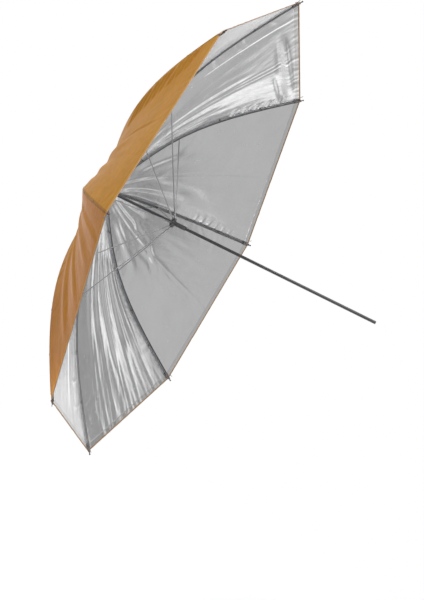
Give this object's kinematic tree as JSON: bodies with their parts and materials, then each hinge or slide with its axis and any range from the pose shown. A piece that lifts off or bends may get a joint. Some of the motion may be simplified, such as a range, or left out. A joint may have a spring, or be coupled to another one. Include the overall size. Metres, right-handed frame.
{
  "type": "umbrella reflector",
  "caption": "Folding studio umbrella reflector, open: curved ribs hold a faceted bowl of metallic fabric, gold outside and silver inside, on a straight tubular shaft.",
  "frame": {"origin": "point on the shaft's axis where a stand's umbrella clamp grips it, 102 mm from the shaft's free end", "axes": "+X along the shaft from the canopy's crown to the free end, +Z to rib 1, -Y to rib 3"},
  "size_m": [0.7084, 1.1358, 1.1358],
  "materials": {
    "black_metal": "satin black coating",
    "rib_steel": "dark plated steel",
    "bright_steel": "bright drawn wire",
    "black_plastic": "moulded black",
    "brown_cap": "dark brown moulded tip",
    "canopy_fabric": "metallised satin, gold outside and silver inside"
  },
  "bodies": {
    "shaft": {"shaft": "black_metal", "shaft_end_plug": "black_plastic", "notch_pin": "bright_steel", "runner_stop_pin": "bright_steel", "crown_ferrule": "black_plastic", "crown_washer": "black_plastic", "top_notch": "black_plastic", "notch_ring_wire": "bright_steel"},
    "runner": {"runner": "black_plastic", "runner_ring_wire": "bright_steel"},
    "catch": {"runner_catch": "bright_steel"},
    "rib_1": {"rib_1": "rib_steel", "rib_pin_1": "bright_steel", "rib_tip_1": "brown_cap", "canopy_gore_1": "canopy_fabric"},
    "stretcher_1": {"stretcher_1": "bright_steel"},
    "rib_2": {"rib_2": "rib_steel", "rib_pin_2": "bright_steel", "rib_tip_2": "brown_cap", "canopy_gore_2": "canopy_fabric"},
    "stretcher_2": {"stretcher_2": "bright_steel"},
    "rib_3": {"rib_3": "rib_steel", "rib_pin_3": "bright_steel", "rib_tip_3": "brown_cap", "canopy_gore_3": "canopy_fabric"},
    "stretcher_3": {"stretcher_3": "bright_steel"},
    "rib_4": {"rib_4": "rib_steel", "rib_pin_4": "bright_steel", "rib_tip_4": "brown_cap", "canopy_gore_4": "canopy_fabric"},
    "stretcher_4": {"stretcher_4": "bright_steel"},
    "rib_5": {"rib_5": "rib_steel", "rib_pin_5": "bright_steel", "rib_tip_5": "brown_cap", "canopy_gore_5": "canopy_fabric"},
    "stretcher_5": {"stretcher_5": "bright_steel"},
    "rib_6": {"rib_6": "rib_steel", "rib_pin_6": "bright_steel", "rib_tip_6": "brown_cap", "canopy_gore_6": "canopy_fabric"},
    "stretcher_6": {"stretcher_6": "bright_steel"},
    "rib_7": {"rib_7": "rib_steel", "rib_pin_7": "bright_steel", "rib_tip_7": "brown_cap", "canopy_gore_7": "canopy_fabric"},
    "stretcher_7": {"stretcher_7": "bright_steel"},
    "rib_8": {"rib_8": "rib_steel", "rib_pin_8": "bright_steel", "rib_tip_8": "brown_cap", "canopy_gore_8": "canopy_fabric"},
    "stretcher_8": {"stretcher_8": "bright_steel"}
  },
  "joints": [
    {"name": "runner_slide", "type": "slide", "parent": "shaft", "child": "runner", "axis": [1, 0, 0], "range_m": [0, 0.3329]},
    {"name": "catch_press", "type": "slide", "parent": "shaft", "child": "catch", "axis": [0, 0.3827, -0.9239], "range_m": [0, 0.0021], "stiffness_N_per_m": 200},
    {"name": "rib_1_hinge", "type": "hinge", "parent": "shaft", "child": "rib_1", "pos_m": [-0.58789, 0, 0.009], "axis": [0, 1, 0], "range_deg": [0, 66], "deforming": ["canopy_gore_1"]},
    {"name": "stretcher_1_hinge", "type": "hinge", "parent": "rib_1", "child": "stretcher_1", "pos_m": [-0.53969, 0, 0.25175], "axis": [0, 1, 0], "range_deg": [-116.59, 0]},
    {"name": "rib_2_hinge", "type": "hinge", "parent": "shaft", "child": "rib_2", "pos_m": [-0.58789, -0.00636, 0.00636], "axis": [0, 0.7071, 0.7071], "range_deg": [0, 66], "deforming": ["canopy_gore_2"]},
    {"name": "stretcher_2_hinge", "type": "hinge", "parent": "rib_2", "child": "stretcher_2", "pos_m": [-0.53969, -0.17802, 0.17802], "axis": [0, 0.7071, 0.7071], "range_deg": [-116.59, 0]},
    {"name": "rib_3_hinge", "type": "hinge", "parent": "shaft", "child": "rib_3", "pos_m": [-0.58789, -0.009, 0], "axis": [0, 0, 1], "range_deg": [0, 66], "deforming": ["canopy_gore_3"]},
    {"name": "stretcher_3_hinge", "type": "hinge", "parent": "rib_3", "child": "stretcher_3", "pos_m": [-0.53969, -0.25175, 0], "axis": [0, 0, 1], "range_deg": [-116.59, 0]},
    {"name": "rib_4_hinge", "type": "hinge", "parent": "shaft", "child": "rib_4", "pos_m": [-0.58789, -0.00636, -0.00636], "axis": [0, -0.7071, 0.7071], "range_deg": [0, 66], "deforming": ["canopy_gore_4"]},
    {"name": "stretcher_4_hinge", "type": "hinge", "parent": "rib_4", "child": "stretcher_4", "pos_m": [-0.53969, -0.17802, -0.17802], "axis": [0, -0.7071, 0.7071], "range_deg": [-116.59, 0]},
    {"name": "rib_5_hinge", "type": "hinge", "parent": "shaft", "child": "rib_5", "pos_m": [-0.58789, 0, -0.009], "axis": [0, -1, 0], "range_deg": [0, 66], "deforming": ["canopy_gore_5"]},
    {"name": "stretcher_5_hinge", "type": "hinge", "parent": "rib_5", "child": "stretcher_5", "pos_m": [-0.53969, 0, -0.25175], "axis": [0, -1, 0], "range_deg": [-116.59, 0]},
    {"name": "rib_6_hinge", "type": "hinge", "parent": "shaft", "child": "rib_6", "pos_m": [-0.58789, 0.00636, -0.00636], "axis": [0, -0.7071, -0.7071], "range_deg": [0, 66], "deforming": ["canopy_gore_6"]},
    {"name": "stretcher_6_hinge", "type": "hinge", "parent": "rib_6", "child": "stretcher_6", "pos_m": [-0.53969, 0.17802, -0.17802], "axis": [0, -0.7071, -0.7071], "range_deg": [-116.59, 0]},
    {"name": "rib_7_hinge", "type": "hinge", "parent": "shaft", "child": "rib_7", "pos_m": [-0.58789, 0.009, 0], "axis": [0, 0, -1], "range_deg": [0, 66], "deforming": ["canopy_gore_7"]},
    {"name": "stretcher_7_hinge", "type": "hinge", "parent": "rib_7", "child": "stretcher_7", "pos_m": [-0.53969, 0.25175, 0], "axis": [0, 0, -1], "range_deg": [-116.59, 0]},
    {"name": "rib_8_hinge", "type": "hinge", "parent": "shaft", "child": "rib_8", "pos_m": [-0.58789, 0.00636, 0.00636], "axis": [0, 0.7071, -0.7071], "range_deg": [0, 66], "deforming": ["canopy_gore_8"]},
    {"name": "stretcher_8_hinge", "type": "hinge", "parent": "rib_8", "child": "stretcher_8", "pos_m": [-0.53969, 0.17802, 0.17802], "axis": [0, 0.7071, -0.7071], "range_deg": [-116.59, 0]}
  ],
  "couplings": [
    {"joint": "rib_1_hinge", "follows": "runner_slide", "rad_per_m": 3.4602},
    {"joint": "stretcher_1_hinge", "follows": "runner_slide", "rad_per_m": -6.1127},
    {"joint": "rib_2_hinge", "follows": "runner_slide", "rad_per_m": 3.4602},
    {"joint": "stretcher_2_hinge", "follows": "runner_slide", "rad_per_m": -6.1127},
    {"joint": "rib_3_hinge", "follows": "runner_slide", "rad_per_m": 3.4602},
    {"joint": "stretcher_3_hinge", "follows": "runner_slide", "rad_per_m": -6.1127},
    {"joint": "rib_4_hinge", "follows": "runner_slide", "rad_per_m": 3.4602},
    {"joint": "stretcher_4_hinge", "follows": "runner_slide", "rad_per_m": -6.1127},
    {"joint": "rib_5_hinge", "follows": "runner_slide", "rad_per_m": 3.4602},
    {"joint": "stretcher_5_hinge", "follows": "runner_slide", "rad_per_m": -6.1127},
    {"joint": "rib_6_hinge", "follows": "runner_slide", "rad_per_m": 3.4602},
    {"joint": "stretcher_6_hinge", "follows": "runner_slide", "rad_per_m": -6.1127},
    {"joint": "rib_7_hinge", "follows": "runner_slide", "rad_per_m": 3.4602},
    {"joint": "stretcher_7_hinge", "follows": "runner_slide", "rad_per_m": -6.1127},
    {"joint": "rib_8_hinge", "follows": "runner_slide", "rad_per_m": 3.4602},
    {"joint": "stretcher_8_hinge", "follows": "runner_slide", "rad_per_m": -6.1127}
  ]
}
